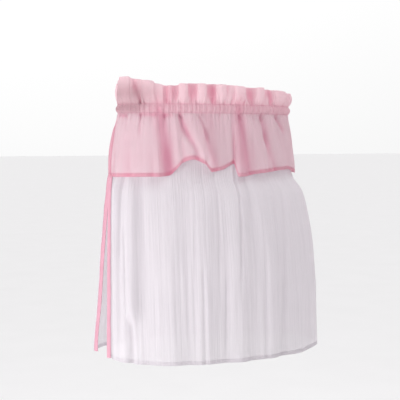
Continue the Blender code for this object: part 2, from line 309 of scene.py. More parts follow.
# %% Folds of the frill and the valance
FRILL = table("arc out height", [
    (0, -3, 52), (30, 1, 73), (78, 13, 83), (116, 3, 74), (150, 11, 70), (186, 0, 58), (204, -7, 54),
    (215, 1, 55), (229, -8, 55), (253, 11, 61), (285, -7, 61), (313, 10, 61), (342, -8, 60), (378, 9, 60),
    (406, 4, 59), (440, 10, 56), (492, -7, 53), (526, 9, 55), (562, -8, 50), (626, 10, 47), (690, -3, 40),
    (730, 10, 43), (770, -6, 48), (812, 11, 54), (850, -5, 57), (902, 12, 60), (940, -6, 58), (978, 9, 56),
    (1012, -6, 57), (1058, 12, 60), (1100, -5, 58), (1136, 10, 59), (1172, -6, 56), (1216, 11, 60),
    (1254, -6, 61), (1292, 10, 63), (1326, -5, 64), (1366, 12, 69), (1404, -5, 70), (1440, 9, 68),
    (1466, 1, 52),
])
VALANCE = table("arc out drop", [
    (0, 30, 196), (10, 24, 196), (30, 26, 196), (70, 34, 195), (110, 38, 194), (150, 40, 193),
    (185, 37, 193), (205, 31, 191), (225, 25, 174), (245, 27, 152), (275, 36, 142), (305, 38, 156),
    (335, 31, 180), (370, 21, 174), (418, 17, 156), (428, 34, 196), (444, 37, 195), (470, 34, 191),
    (510, 27, 186), (550, 34, 183), (595, 25, 179), (635, 29, 177), (680, 24, 184), (720, 25, 192),
    (770, 32, 190), (820, 23, 172), (860, 35, 160), (905, 37, 187), (950, 24, 192), (1000, 38, 190),
    (1040, 21, 170), (1080, 35, 157), (1125, 37, 186), (1170, 24, 193), (1220, 38, 191), (1260, 22, 173),
    (1300, 34, 162), (1345, 37, 187), (1395, 35, 194), (1456, 38, 196), (1466, 31, 196),
])
# creases of the valance: start arc, start height, end arc, end height, width, how far out
VALANCE_CREASES = [
    (48, -20, 46, -190, 10, 4), (122, -14, 124, -70, 5, -4), (80, -95, 150, -100, 14, -2),
    (172, -30, 184, -185, 7, 4), (194, -16, 206, -172, 14.5, -5.5), (228, -30, 234, -150, 8, 5),
    (240, -16, 258, -70, 8.5, -7), (258, -70, 292, -138, 10, -6.5), (276, -20, 304, -150, 12, 6),
    (304, -18, 324, -85, 6.5, -7), (324, -85, 345, -165, 15, -6), (346, -20, 366, -150, 16, -4),
    (400, -20, 404, -140, 11, 4.5), (432, -20, 433, -190, 5, 2.5), (446, -18, 456, -188, 14, -4.5),
    (476, -30, 520, -185, 13, 6), (530, -16, 546, -90, 12.5, -7), (546, -90, 564, -180, 13.5, -8),
    (572, -30, 608, -175, 12, 5.5), (604, -16, 638, -60, 11, -7.5), (660, -20, 690, -170, 12, 4.5),
    (735, -18, 750, -120, 9, -6), (790, -20, 785, -170, 12, 4), (830, -18, 822, -150, 11, -6),
    (880, -18, 890, -130, 8, -5), (918, -20, 925, -170, 13, 4.5), (975, -16, 965, -110, 8, -6),
    (1012, -20, 1004, -160, 12, 4.5), (1060, -18, 1050, -150, 11, -7), (1100, -20, 1112, -170, 12, 4.5),
    (1150, -16, 1160, -120, 9, -6), (1200, -20, 1208, -170, 12, 4.5), (1240, -18, 1256, -150, 10, -6.5),
    (1290, -20, 1300, -160, 12, 4.5), (1325, -16, 1335, -110, 8, -5.5), (1375, -20, 1380, -180, 13, 4),
    (1410, -20, 1412, -120, 9, -3.5),
]
# creases of the frill, between the upper seam and its top edge
FRILL_CREASES = [
    (124, 14, 113, 70, 4.2, -9.5), (140, 14, 146, 40, 5, -3.5), (170, 14, 174, 50, 5, 2),
    (300, 14, 304, 40, 4.5, -2.5), (388, 14, 402, 64, 4, -4), (414, 14, 422, 60, 4.5, -3),
    (470, 14, 474, 45, 5, 2), (540, 14, 534, 40, 4.5, -2.5), (600, 14, 604, 45, 6, -2.5),
    (652, 14, 650, 40, 6, -2.5),
]
# puckers: short pits where a gather is caught by a seam
PUCKERS = [
    (74, -16, 76, -26, 4.5, -3.2), (125, -15, 126, -30, 4, -3.5), (196, -15, 198, -28, 4.5, -3.5),
    (243, -16, 248, -28, 4.5, -4), (316, -16, 320, -28, 4.5, -4), (376, -15, 376, -26, 4, -2.5),
    (446, -15, 447, -32, 5, -4), (534, -15, 536, -32, 5, -4), (614, -15, 618, -30, 6, -4.5),
    (168, 16, 168, 26, 4, -3.2), (204, 16, 206, 28, 4.5, -3.5), (243, 16, 243, 26, 4, -3),
    (276, 16, 277, 26, 4.5, -3.5), (348, 16, 346, 28, 4.5, -3.5), (459, 16, 460, 26, 4, -3),
    (508, 16, 508, 26, 4.5, -3.5), (575, 16, 576, 28, 4.5, -3.5),
]
# where the gathered strip is folded on itself and lies three layers thick, and painted shade along some
# troughs: as creases, but the last value is how much of the cloth there is folded, in thousandths
LAPS_AND_TROUGH_SHADE = [
    (183, -13, 203, -180, 17, 900), (441, -13, 450, -190, 20, 950), (46, -20, 70, -21, 6, 950),
    (130, -18, 205, -20, 6, 850), (210, 16, 214, 60, 13, 700), (288, 16, 284, 60, 10, 450),
    (355, 16, 348, 60, 11, 850), (492, 16, 488, 55, 8.5, 850), (582, 16, 570, 55, 8.5, 850),
    (124, 16, 112, 60, 4.5, 700), (245, -16, 270, -90, 9, 400), (610, -16, 636, -60, 12, 300),
    (330, -30, 350, -150, 20, 320), (540, -30, 562, -170, 13, 400),
]
# painted grey shade over the strip's first end, on the pocket and the first puffs of the frill: as above
GREY_SHADE_PATCHES = [(-20, 0, 105, 0, 16, 850), (-20, 52, 128, 44, 30, 800)]
# panels of the valance that lap over the ones beside them: arc, width, how far along their edge is moved
LAPPED_PANELS = [(429, 10, -9), (192, 14, -7)]
print(len(FRILL["arc"]), "frill folds,", len(VALANCE["arc"]), "valance folds,",
      len(VALANCE_CREASES) + len(FRILL_CREASES), "creases")

# %% [markdown]
# The strip's section is a route with six stretches: up behind the frill, over its top fold, down its front,
# down the pocket's front, down the valance, and up behind its hem. Each row of the grid is one stop on that
# route. Small gathers are deepest just above and below each seam and die away over about 40 mm.

# %% The heading's section, row by row
HEADING_COLUMNS = 1441
HEM = 0.0115
HEM_BEHIND = 0.0009
TOP_FOLD = 0.0022
FOLD_STARTS = 0.97
LAYER_GAP = 0.0007
AIR = 0.0024
AIR_PER_METRE_OUT = 45
FRILL_SWELL = 1.12
POCKET_BULGE = 0.0048
# how much of a fold's reach out there is at some shares of the way down the valance, and at its two ends
SWING_DOWN = [0.0, 0.28, 0.63, 1.0]
SWING = [0.0, 0.38, 0.74, 1.0]
END_SWING = [0.0, 0.55, 0.92, 1.0]
END_REACH = 0.045
# how much of a puff's reach out there is at some shares of the way up the frill
PUFF_UP = [0.0, 0.30, 0.66, 1.0]
PUFF = [0.0, 0.62, 1.0, 0.90]
LOOP_LEAN = 0.15
# gathers beside a seam: depth at it, further depth 8 mm from it, length over which they fade, and their set
SEAM_GATHERS = [(0.0005, 0.0010, 0.020, FINE_GATHERS), (0.0008, 0.0022, 0.032, WIDE_GATHERS)]
# soft streaks: width, height and depth in metres, and seed
SEAM_STREAKS = [(0.018, 0.070, 0.0016, 13)]
VALANCE_STREAKS = [(0.016, 0.15, 0.0040, 14), (0.034, 0.30, 0.0036, 15)]
TOP_EDGE_STREAKS = [(0.008, 0.5, 0.0010, 21)]
AIR_STREAKS = [(0.020, 0.08, 0.5, 5)]


def heading_route():
    """Rows of the strip: name of the stretch and how far along it each row is, 0..1. Rows are close together
    where the strip turns, so that its shading turns there too."""
    stretches = [
        ("behind", np.linspace(0.0, 1.0, 6)), ("fold", np.array([0.0, 0.5, 1.0])),
        ("front", np.linspace(0.0, 1.0, 12)), ("pocket", np.linspace(0.0, 1.0, 11)[1:-1]),
        ("valance", np.concatenate([np.linspace(0.0, 0.94, 28), [0.965, 0.985, 0.995, 1.0]])),
        ("hem", np.array([0.03, 0.10, 0.50, 1.0])),
    ]
    names = np.concatenate([[name] * len(shares) for name, shares in stretches])
    return names, np.concatenate([shares for name, shares in stretches])


def seam_gathers(run, z, away):
    """Gathers of two widths, deepest about 8 mm from a seam and gone after 40 to 60 mm, plus a slow wave."""
    wander = run + drift(run, z, 0.012, 3) * np.clip(away / 0.08, 0, 1)
    rising = np.clip(away / 0.008, 0, 1)
    waves = [(at_seam + further * rising) * np.exp(-away / fade) * gathers(wander, *chosen)
             for at_seam, further, fade, chosen in SEAM_GATHERS]
    return sum(waves) + rising * streaks(wander, z, SEAM_STREAKS)


def heading_points():
    """Points of the strip, its arcs and how far out each point stands, for rows x columns. The frill's swell,
    the pocket's bulge and the valance's swing come first, then gathers, creases and puckers."""
    names, shares = heading_route()
    on = {name: (names == name)[:, None] for name in dict.fromkeys(names)}
    above = on["behind"] | on["fold"] | on["front"]
    below = on["valance"] | on["hem"]
    t = shares[:, None]
    run = np.linspace(0.0, HOOP_LENGTH, HEADING_COLUMNS)[None, :]
    height = soft_line(run, FRILL["arc"], FRILL["height"]) + streaks(run, 0.0, TOP_EDGE_STREAKS)
    drop = soft_line(run, VALANCE["arc"], VALANCE["drop"])
    # share of the frill's height: up behind, round the fold, down the front
    up = np.select([on["behind"], on["fold"], on["front"]],
                   [FOLD_STARTS * t, 0.5 + 0.5 * FOLD_STARTS, FOLD_STARTS * (1 - t)], 0.0)
    # share of the valance's drop: closer rows under the seam, and back up behind the hem
    down = np.select([on["valance"], on["hem"]], [0.65 * t + 0.35 * t**2, 1.0 - t * HEM / drop], 0.0)
    z = on["pocket"] * SEAM_HEIGHT * (1 - 2 * t) + up * height - down * drop
    z = z + SEAM_HEIGHT * above - SEAM_HEIGHT * below
    z = z + on["fold"] * TOP_FOLD * np.sin(np.pi * (0.25 + 0.5 * t))
    away = np.where(on["pocket"], 0.0, np.abs(z) - SEAM_HEIGHT)
    # the frill: its slow folds, and air between its two layers
    frill_out = soft_line(run, FRILL["arc"], FRILL["out"])
    puff = soft_line(up, PUFF_UP, PUFF)
    layer = np.select([on["behind"], on["front"], on["fold"]], [-1.0, 1.0, 2 * t - 1], 0.0)
    air = AIR * (1 + AIR_PER_METRE_OUT * frill_out) * (1 + streaks(run, z, AIR_STREAKS))
    out = SEAM_OUT + puff * frill_out * FRILL_SWELL
    out = out + layer * (LAYER_GAP + air * np.sin(np.pi * np.clip(up, 0, 1)) ** 0.8)
    # the pocket, pulled in by its puckers
    fine, wide = gathers(run, *FINE_GATHERS), gathers(run, *WIDE_GATHERS)
    bulge = np.sin(np.pi * t) * (POCKET_BULGE + 0.0018 * wide + 0.0009 * fine)
    out = out + on["pocket"] * (bulge + 0.0008 * wide + 0.0005 * fine)
    # the valance: its folds swing further out the lower they are, and sooner at the strip's two ends
    near_end = np.exp(-((np.minimum(run, HOOP_LENGTH - run) / END_REACH) ** 2))
    swing = soft_line(down, SWING_DOWN, SWING)
    swing = swing + near_end * (soft_line(down, SWING_DOWN, END_SWING) - swing)
    out = out + swing * (soft_line(run, VALANCE["arc"], VALANCE["out"]) - SEAM_OUT)
    out = out + seam_gathers(run, z, away) * ~on["pocket"] + swing * streaks(run, z, VALANCE_STREAKS)
    out = out + below * np.clip(away / 0.012, 0, 1) * creases(run, z, VALANCE_CREASES)
    out = out + above * creases(run, z, FRILL_CREASES)
    out = out + np.clip(away / 0.003, 0, 1) * creases(run, z, PUCKERS)
    out = out - on["hem"] * HEM_BEHIND * np.sin(0.5 * np.pi * np.clip(t * 4, 0, 1))
    # sideways: loops of the frill, and valance panels that lap over the ones beside them
    arc = along(run / HOOP_LENGTH, z) + looped(run, FRILL["arc"], LOOP_LEAN) * puff
    for edge, width, moved in np.array(LAPPED_PANELS) / 1000:
        arc = arc + swing * moved * np.exp(-(((run - edge) / width) ** 2))
    return place(arc, out, z), arc, out, names


heading_grid, heading_arc, heading_out, heading_names = heading_points()

# %% [markdown]
# What the cloth's colour needs to know comes from its shape. Sheer cloth looks deeper where it lies in a
# fold, because light passes it twice; this is painted in as shade. It is also deeper where it lies double, as
# in the hems and along the seams. Three values at each point say so: how deep in a fold it lies, for the
# painted shade; how much extra cloth there is, with painted shade along some troughs and a painted glow in
# the frill; and painted grey shade over the strip's first end.

# %% The heading's mesh
SIDE_HEM = 0.017
# how much paler the frill is painted, a painted glow for light from behind
FRILL_PAINTED_GLOW = 0.20
HEM_DEPTH = 0.8
SEAM_DEPTH = 0.5
SEAM_REACH = 0.0016
POCKET_DEPTH = 0.26


def heading_marks():
    """fold: 0..1, deeper in troughs, a mark for painted shade. The layer mark: how much the colour of extra
    layers shows, from nothing to 1 in a lap, and painted shade along some troughs; in the frill it falls
    below 0, a painted glow for light from behind, which passes its two layers and makes them paler. The grey
    mark: 0..0.9 of painted grey shade over the strip's first end."""
    run = np.linspace(0.0, HOOP_LENGTH, HEADING_COLUMNS)[None, :]
    z = heading_grid[..., 2]
    below = ((heading_names == "valance") | (heading_names == "hem"))[:, None]
    from_foot = z - z.min(axis=0)[None, :]
    from_side = np.minimum(run, HOOP_LENGTH - run)
    # the hems' upper edges fade over 1.5 to 2 mm
    foot_hem = np.clip(1 - (from_foot - HEM) / 0.0015, 0, 1)
    side_hem = np.clip(1 - (from_side - SIDE_HEM) / 0.002, 0, 1)
    hems = HEM_DEPTH * np.maximum(foot_hem, side_hem)
    seam = SEAM_DEPTH * np.exp(-(((np.abs(z) - SEAM_HEIGHT) / SEAM_REACH) ** 2))
    seam = seam + POCKET_DEPTH * (np.abs(z) < SEAM_HEIGHT)
    # real laps, and painted shade along some troughs of the frill and the valance
    laps_and_shade = creases(run, z, LAPS_AND_TROUGH_SHADE)
    # painted glow: the frill is made paler, for light from behind that passes its two layers
    free = FRILL_PAINTED_GLOW * np.clip((z - SEAM_HEIGHT - 0.003) / 0.012, 0, 1)
    layers = np.clip(np.maximum(np.maximum(hems * below, seam), laps_and_shade) - free, -1, 1)
    # painted grey shade over the strip's first end, on the pocket and the first puffs
    grey_shade = np.clip(creases(run, z, GREY_SHADE_PATCHES), 0, 0.9)
    # painted shade: the colour deepens with how deep each point lies in its fold
    fold = hollow(heading_out, columns_wide=55, full_depth=0.007)
    return {"fold": fold, "layers": layers, "painted_grey_shade": grey_shade}


heading = cloth_mesh("voile_heading", heading_grid, flat_place(heading_grid), heading_marks())
print("heading triangles", 2 * len(heading.data.polygons))

# %% [markdown]
# ## The strip behind the rod
# Behind the rod the pocket is closed by a plain strip of the same voile, from the upper seam round the rod to
# the lower seam. It is the front's own allowance, so it has the same small gathers.

# %% The pocket's back
POCKET_BACK = table("z out", [
    (13.2, 0.7), (10, -2.8), (6, -5.2), (0, -5.8), (-6, -5.2), (-11, -3), (-14.5, -0.8),
])
POCKET_ROWS = 15


def pocket_back_points():
    """Rows down the strip: height and out follow the table, with gathers of half a millimetre."""
    t = np.linspace(0.0, 1.0, POCKET_ROWS)[:, None]
    steps = np.linspace(0.0, 1.0, len(POCKET_BACK["z"]))
    z = soft_line(t, steps, POCKET_BACK["z"])
    run = np.linspace(0.0, HOOP_LENGTH, HEADING_COLUMNS)[None, :]
    out = soft_line(t, steps, POCKET_BACK["out"]) + 0.0006 * gathers(run, *FINE_GATHERS)
    return place(along(run / HOOP_LENGTH, 0.0), out, z)


pocket_grid = pocket_back_points()
pocket_back = cloth_mesh("voile_pocket_back", pocket_grid, flat_place(pocket_grid))

# %% [markdown]
# ## The white net
# The netting is gathered about two to one under the valance and hangs straight, so it looks like hair: very
# many fine, uneven, upright waves. They merge into wider ones lower down. Three sets of gathers of different
# width are added, over the slow folds that the solid already has, and each set drifts sideways as it falls.
# Near the two edges of the opening the net is drawn flat by its binding, so the waves die away there.

# %% Folds of the net
NET_LEVELS = np.array([NET_TOP_Z, -0.090, -0.175, -0.215, -0.260, -0.330, -0.450, -0.610, FOOT_Z])
NET_SWELL = table("arc top under cover hem below upper middle low foot", [
    (0, 0.7, 6, 18, 26.2, 32.5, 34.5, 36.8, 39.2, 42),
    (10, 0.7, 4.5, 14.2, 20, 24.5, 25.9, 27.2, 28.6, 30.7), (35, 0.7, 3, 8, 14, 26, 28, 31, 34, 37),
    (90, 0.7, 3, 8, 14, 27, 34, 41, 46, 48), (250, 0.7, 3, 8, 14, 37, 47, 56, 62, 65),
    (480, 0.7, 3, 8, 14, 42, 57, 73, 82, 84), (720, 0.7, 3, 8, 18, 48, 67, 87, 98, 100),
    (1000, 0.7, 3, 8, 14, 40, 56, 70, 80, 84), (1250, 0.7, 3, 9, 16, 36, 48, 60, 75, 88),
    (1400, 0.7, 4, 12, 26, 40, 49, 62, 81, 103), (1460, 0.7, 5.7, 19, 38.5, 46, 56, 69, 83.5, 100.5),
    (1466, 0.7, 4, 16, 30.5, 34, 41.5, 53, 66.5, 83),
])
NET_FOLDS = table("arc out", [
    (45, 0), (85, 4), (125, -4), (180, 4), (235, -3), (290, 4), (345, -4), (395, 5), (440, -6), (490, 5),
    (545, -3), (600, 5), (660, -4), (720, 4), (780, -4), (840, 5), (900, -4), (960, 5), (1020, -5),
    (1085, 4), (1145, -4), (1205, 5), (1265, -4), (1325, 4), (1380, -3), (1421, 0),
])
NET_FOLD_GROWTH = [0.0, 0.0, 0.0, 0.0, 0.35, 0.65, 0.85, 1.0, 1.0]
# creases of the net: start arc, start height, end arc, end height, width, how far out
NET_CREASES = [
    (418, -200, 402, -480, 4.8, -5), (62, -200, 56, -400, 10, -8), (40, -230, 38, -560, 7, 5.5),
    (92, -220, 94, -560, 11, 6.5), (80, -400, 80, -600, 4, -6), (88, -665, 85, -775, 13.5, -19),
    (104, -300, 102, -600, 8, 5), (270, -230, 262, -420, 5, 1.5), (289, -530, 286, -770, 6, -4),
    (345, -260, 338, -520, 5, -1.5), (358, -540, 352, -700, 5, -3), (384, -600, 380, -775, 8, -2),
    (484, -500, 480, -775, 10, -3.5), (530, -240, 512, -600, 8, 1.5), (575, -300, 540, -700, 10, -3),
]
# the net's soft streaks: width, height and depth in metres, and seed
NET_STREAKS = [(0.0028, 0.10, 0.00014, 32), (0.0055, 0.16, 0.00028, 33), (0.012, 0.24, 0.0009, 34),
               (0.030, 0.36, 0.0026, 35)]
NET_COLUMNS = 1761
NET_HEM = 0.012
NET_EDGE_FLAT = 0.016
HEM_TUCK = [0.0003, 0.0005, 0.0006, 0.0006]
NEST_STEP = 0.002
NEST_HEIGHT = 0.008
NEST_GAP = 0.0008
NEST_FREE = 0.05


def net_centre(run, z):
    """How far out the net's slow folds stand, as in the solid: a smooth line down the levels of each place,
    plus the folds that grow towards the foot."""
    names = [name for name in NET_SWELL if name != "arc"]
    swell = np.stack([soft_line(run, NET_SWELL["arc"], NET_SWELL[name]) for name in names], axis=-1)
    fold = soft_line(run, NET_FOLDS["arc"], NET_FOLDS["out"])
    swell = swell + fold[..., None] * np.array(NET_FOLD_GROWTH)
    return soft_line(-z, -NET_LEVELS, swell)


def net_route():
    """Heights of the net's rows: even steps, closer ones at the foot, and back up behind the narrow hem."""
    over_foot = [0.007, 0.0025, 0.0007, 0.0, 0.0006, 0.003, 0.5 * NET_HEM, NET_HEM]
    return np.concatenate([np.linspace(NET_TOP_Z, FOOT_Z + 0.016, 47), FOOT_Z + np.array(over_foot)])


def behind_the_valance():
    """The furthest out that anything may stand behind the valance: the least out of the valance's points in
    small boxes, and in the boxes all round each, less a small gap. The boxes' arcs and heights come first."""
    below = heading_names == "valance"
    arc, out, z = heading_arc[below].ravel(), heading_out[below].ravel(), heading_grid[below][..., 2].ravel()
    arc_edges = np.arange(-0.010, HOOP_LENGTH + 0.012, NEST_STEP)
    z_edges = np.arange(-0.205, -0.004, NEST_HEIGHT)
    column = np.clip(np.searchsorted(arc_edges, arc) - 1, 0, len(arc_edges) - 2)
    row = np.searchsorted(z_edges, z) - 1
    inside = row >= 0
    least = np.full((len(z_edges), len(arc_edges) - 1), NEST_FREE)
    np.minimum.at(least, (row[inside], column[inside]), out[inside])
    wide = np.pad(least, 1, "edge")
    rows, columns = least.shape
    least = np.min([wide[i:i + rows, j:j + columns] for i in range(3) for j in range(3)], axis=0)
    return arc_edges[:-1] + NEST_STEP / 2, z_edges, least - NEST_GAP


def net_points():
    """Points of the net, and how far out each stands: slow folds and creases, gathers that fade below the
    valance, and soft streaks of four widths, each of which starts and ends at its own height."""
    z = net_route()[:, None]
    run = np.linspace(0.0, HOOP_LENGTH, NET_COLUMNS)[None, :]
    out = np.stack([net_centre(run[0], level) for level in z[:, 0]])
    fallen = np.clip((NET_TOP_Z - z) / (NET_TOP_Z - FOOT_Z), 0, 1)
    from_edge = np.minimum(run, HOOP_LENGTH - run)
    free = np.clip((from_edge - NET_EDGE_FLAT) / 0.020, 0, 1)
    step = run + drift(run, z, 0.016, 31) * fallen
    waves = 0.0010 * np.exp(-fallen / 0.25) * gathers(step, *FINE_GATHERS)
    # the net is looser at its foot and beside its two edges
    looser = 0.5 + fallen + 1.4 * np.exp(-((run / 0.13) ** 2))
    looser = looser + 0.8 * np.exp(-(((HOOP_LENGTH - run) / 0.10) ** 2))
    waves = waves + looser * streaks(step, z, NET_STREAKS)
    out = out + waves * (0.15 + 0.85 * free) + creases(run, z, NET_CREASES) * free
    arc = along(run / HOOP_LENGTH, z)
    nest_arc, nest_z, nest_out = behind_the_valance()
    level = np.clip(np.searchsorted(nest_z, z[:, 0]) - 1, 0, len(nest_z) - 1)
    limit = np.stack([np.interp(line, nest_arc, nest_out[k]) for line, k in zip(arc, level)])
    limit[z[:, 0] < nest_z[0]] = 1.0
    print("net points moved in behind the valance:", int((out > limit).sum()), "by up to",
          round(1000 * float((out - limit).max()), 2), "mm")
    out = np.minimum(out, limit)
    behind = np.zeros_like(z)
    behind[-len(HEM_TUCK):, 0] = HEM_TUCK
    return place(arc, out - behind, z), out


net_grid, net_out = net_points()
# painted shade: the netting turns greyer with how deep each point lies in its fold
net_values = {"fold": hollow(net_out, columns_wide=61, full_depth=0.006), "layers": np.zeros(net_out.shape)}
net_values["layers"][net_grid[..., 2] < FOOT_Z + NET_HEM + 0.001] = 1.0
net = cloth_mesh("net_wall_sheet", net_grid, flat_place(net_grid), net_values)

# %% [markdown]
# ## The net panel in the top
# A panel of netting closes the hoop. It is sewn in at the upper seam and sags a little. The photograph looks
# from below the hoop and doesn't show it, so it is kept plain. A square grid bent onto an oval has no pole in
# the middle, so its threads stay even all over.

# %% The top panel
TOP_RIM_OUT = 0.0008
TOP_RIM_Z = 0.0144
# how far the panel sags at some shares of the way in from its rim
SAG_IN = [0.0, 0.07, 0.40, 0.75, 1.0]
SAG = [0.0, 0.001, 0.011, 0.017, 0.019]
TOP_STEPS = 221


def top_points():
    """A square grid (s, t) bent onto an oval: x = a s sqrt(1 - t t / 2), y = b t sqrt(1 - s s / 2). The sag
    grows towards the middle and the rim has shallow gathers that fade inwards."""
    side = np.linspace(-1.0, 1.0, TOP_STEPS)
    t, s = np.meshgrid(side, side, indexing="ij")
    x = s * np.sqrt(1 - t * t / 2)
    y = t * np.sqrt(1 - s * s / 2)
    reach = np.clip(np.hypot(x, y), 0, 1)
    turn = np.mod(np.arctan2(y, x) - OPENING_TURN, 2 * np.pi)
    arc = np.interp(turn, np.linspace(0, 2 * np.pi, HOOP_SAMPLES), HOOP[0])
    sag = soft_line(1 - reach, SAG_IN, SAG)
    near_rim = np.clip((reach - 0.25) / 0.6, 0, 1) * np.clip((1 - reach) / 0.05, 0, 1)
    wave = 0.0009 * gathers(arc, 0.016, 41) * near_rim
    slow = 0.0012 * np.sin(9 * x + 3 * y) * np.sin(7 * y - 2 * x) * (1 - reach**2)
    px = HOOP_CENTRE_X + (HOOP_HALF_LENGTH + TOP_RIM_OUT) * x
    py = (HOOP_HALF_WIDTH + TOP_RIM_OUT) * y
    return np.stack([px, py, TOP_RIM_Z - sag + wave + slow], axis=-1)


top_grid = top_points()[::-1]
top = cloth_mesh("net_top_sheet", top_grid, top_grid[..., :2])

# %% [markdown]
# ## Bindings
# A strip of satin, folded in two, is sewn over each upright edge of the net. Its section is a narrow U with a
# round back, carried down the net's edge. The U is worked out in the edge's own directions: into the cloth,
# and out from it.

# %% The two bindings
BINDING_WIDTH = 0.0140
BINDING_REACH = 0.005
BINDING_TOP_Z = -0.032
BINDING_HALF = 0.0013
BINDING_BACK = 0.0012
LIP_CLOSE = 0.2
BINDING_ROWS = 150


def binding_section():
    """The U: down one side, round a half circle behind the edge, and up the other side, with soft lips."""
    side = np.linspace(1.0, 0.0, 7)
    turn = np.linspace(0.0, np.pi, 9)[1:-1]
    into = np.concatenate([BINDING_WIDTH * side, -BINDING_BACK * np.sin(turn), BINDING_WIDTH * side[::-1]])
    swell = 1.0 + 0.25 * np.sin(np.pi * side)
    swell[0] = LIP_CLOSE
    return into, BINDING_HALF * np.concatenate([swell, np.cos(turn), -swell[::-1]])


def binding_points(edge_run, step):
    """The section carried down the net's edge, with a slow waver of the width and a small roll."""
    z = np.linspace(BINDING_TOP_Z, FOOT_Z, BINDING_ROWS)
    runs = np.array([edge_run, edge_run + step * BINDING_REACH])
    outs = np.stack([net_centre(runs, level) for level in z])
    edge, inner = [place(along(run / HOOP_LENGTH, z), out, z) for run, out in zip(runs, outs.T)]
    into = inner - edge
    into[:, 2] = 0.0
    into /= np.linalg.norm(into, axis=1)[:, None]
    outward = step * np.stack([into[:, 1], -into[:, 0], np.zeros(len(z))], axis=1)
    section_into, section_out = binding_section()
    waver = 1.0 + 0.04 * np.sin(41.0 * z + edge_run) + 0.03 * np.sin(97.0 * z)
    puff = 1.0 + 0.15 * np.sin(260.0 * z) + 0.10 * np.sin(143.0 * z)
    points = edge[:, None] + (section_into[None, :] * waver[:, None])[..., None] * into[:, None]
    return points + (section_out[None, :] * puff[:, None])[..., None] * outward[:, None], outward


bindings = {}
binding_seams = {}
for side_name, edge_run, step in (("front", 0.0, 1), ("back", HOOP_LENGTH, -1)):
    grid, outward = binding_points(edge_run, step)
    binding_seams[side_name] = [(grid[:, 1], outward), (grid[:, -2], -outward)]
    if step > 0:
        grid = grid[:, ::-1]
    bindings[side_name] = cloth_mesh("satin_binding_" + side_name, grid, flat_place(grid))
    print("binding", side_name, "flat", [round(v, 3) for v in flat_size(grid)])

# %% [markdown]
# ## Stitches
# Rows of short stitches run along both seams of the pocket, along the hems and along the bindings. One stitch
# is a slim capsule with six sides, and a row is many copies of it, turned to lie along the seam. Each row is
# one joined mesh. A real stitch is 0.3 mm thick; it is drawn about twice as thick, so that it can be seen.

# %% Rows of stitches
STITCH_PITCH = 0.0042
STITCH_LENGTH = 0.0027
STITCH_HALF = 0.00032
STITCH_SIDES = 6
STITCH_LIFT = 0.0003
STITCH_LEAN = 0.12
# how far up a hem its stitches stand, as a share of its height
UP_HEM = 0.85
UP_NET_HEM = 0.9
# four rings along a stitch: place and radius, for a stitch one long and one in radius
STITCH_RINGS = [(-0.5, 0.35), (-0.35, 1.0), (0.35, 1.0), (0.5, 0.35)]


def capsule():
    """One stitch along x, 1 long and 1 in radius: four rings of six points, joined by quads and closed at
    the ends. The corners run the way that makes each face look outwards."""
    turn = np.arange(STITCH_SIDES) * 2 * np.pi / STITCH_SIDES
    rings = [np.stack([np.full(STITCH_SIDES, x), r * np.cos(turn), r * np.sin(turn)], axis=1)
             for x, r in STITCH_RINGS]
    here, beside = np.arange(STITCH_SIDES), (np.arange(STITCH_SIDES) + 1) % STITCH_SIDES
    quad = np.stack([here + STITCH_SIDES, beside + STITCH_SIDES, beside, here], axis=1)
    faces = np.concatenate([quad + k * STITCH_SIDES for k in range(len(rings) - 1)])
    return np.concatenate(rings), faces, np.stack([here[::-1], here + (len(rings) - 1) * STITCH_SIDES])


def stitch_rows(name, seams, seed):
    """One mesh of stitches. Each seam is (points along it, outward directions at them): stitches stand every
    pitch along the line, lifted off the cloth, and turned a little at random about the outward direction."""
    draw = np.random.default_rng(seed)
    shape, faces, ends = capsule()
    copies = []
    for line, outward in seams:
        run = np.concatenate([[0.0], np.cumsum(np.linalg.norm(np.diff(line, axis=0), axis=1))])
        stops = np.arange(STITCH_PITCH, run[-1] - STITCH_PITCH, STITCH_PITCH)

        def at(where, values):
            return np.stack([np.interp(where, run, values[:, i]) for i in range(3)], axis=1)

        centre = at(stops, line)
        lengthwise = at(stops + STITCH_LENGTH / 2, line) - at(stops - STITCH_LENGTH / 2, line)
        lengthwise /= np.linalg.norm(lengthwise, axis=1)[:, None]
        up = at(stops, outward)
        up -= (up * lengthwise).sum(axis=1)[:, None] * lengthwise
        up /= np.linalg.norm(up, axis=1)[:, None]
        beside = np.cross(up, lengthwise)
        lean = draw.uniform(-STITCH_LEAN, STITCH_LEAN, len(stops))[:, None]
        along_stitch = lengthwise + lean * beside
        beside = beside - lean * lengthwise
        scaled = shape * (STITCH_LENGTH, STITCH_HALF, STITCH_HALF)
        points = (centre + STITCH_LIFT * up)[:, None] + scaled[None, :, :1] * along_stitch[:, None]
        copies.append(points + scaled[None, :, 1:2] * beside[:, None] + scaled[None, :, 2:] * up[:, None])
    points = np.concatenate(copies)
    count, size = points.shape[:2]
    steps = (np.arange(count) * size)[:, None, None]
    sides = (faces[None] + steps).reshape(-1, 4).tolist()
    caps = (ends[None] + steps).reshape(-1, STITCH_SIDES).tolist()
    mesh = bpy.data.meshes.new(name)
    mesh.from_pydata(points.reshape(-1, 3), [], sides + caps, shade_flat=False)
    piece = bpy.data.objects.new(name, mesh)
    bpy.context.scene.collection.objects.link(piece)
    print(name, count, "stitches")
    return piece


def level_normals(arc):
    """The hoop line's level outward directions at some arcs."""
    return np.stack([*hoop_at(arc)[2:], np.zeros_like(arc)], axis=1)


def line_above_foot(grid, arc, height):
    """The line across a sheet at a height above its foot, between the rows of the grid just over and under
    it, and the level outward directions there."""
    foot = grid[..., 2].min(axis=0)
    rows = np.arange(len(grid))[:, None]
    above = np.where(grid[..., 2] - foot > height, rows, -1).max(axis=0)
    columns = np.arange(grid.shape[1])
    over, under = grid[above, columns], grid[above + 1, columns]
    share = ((over[:, 2] - foot - height) / (over[:, 2] - under[:, 2]))[:, None]
    return over + share * (under - over), level_normals(arc[above, columns])


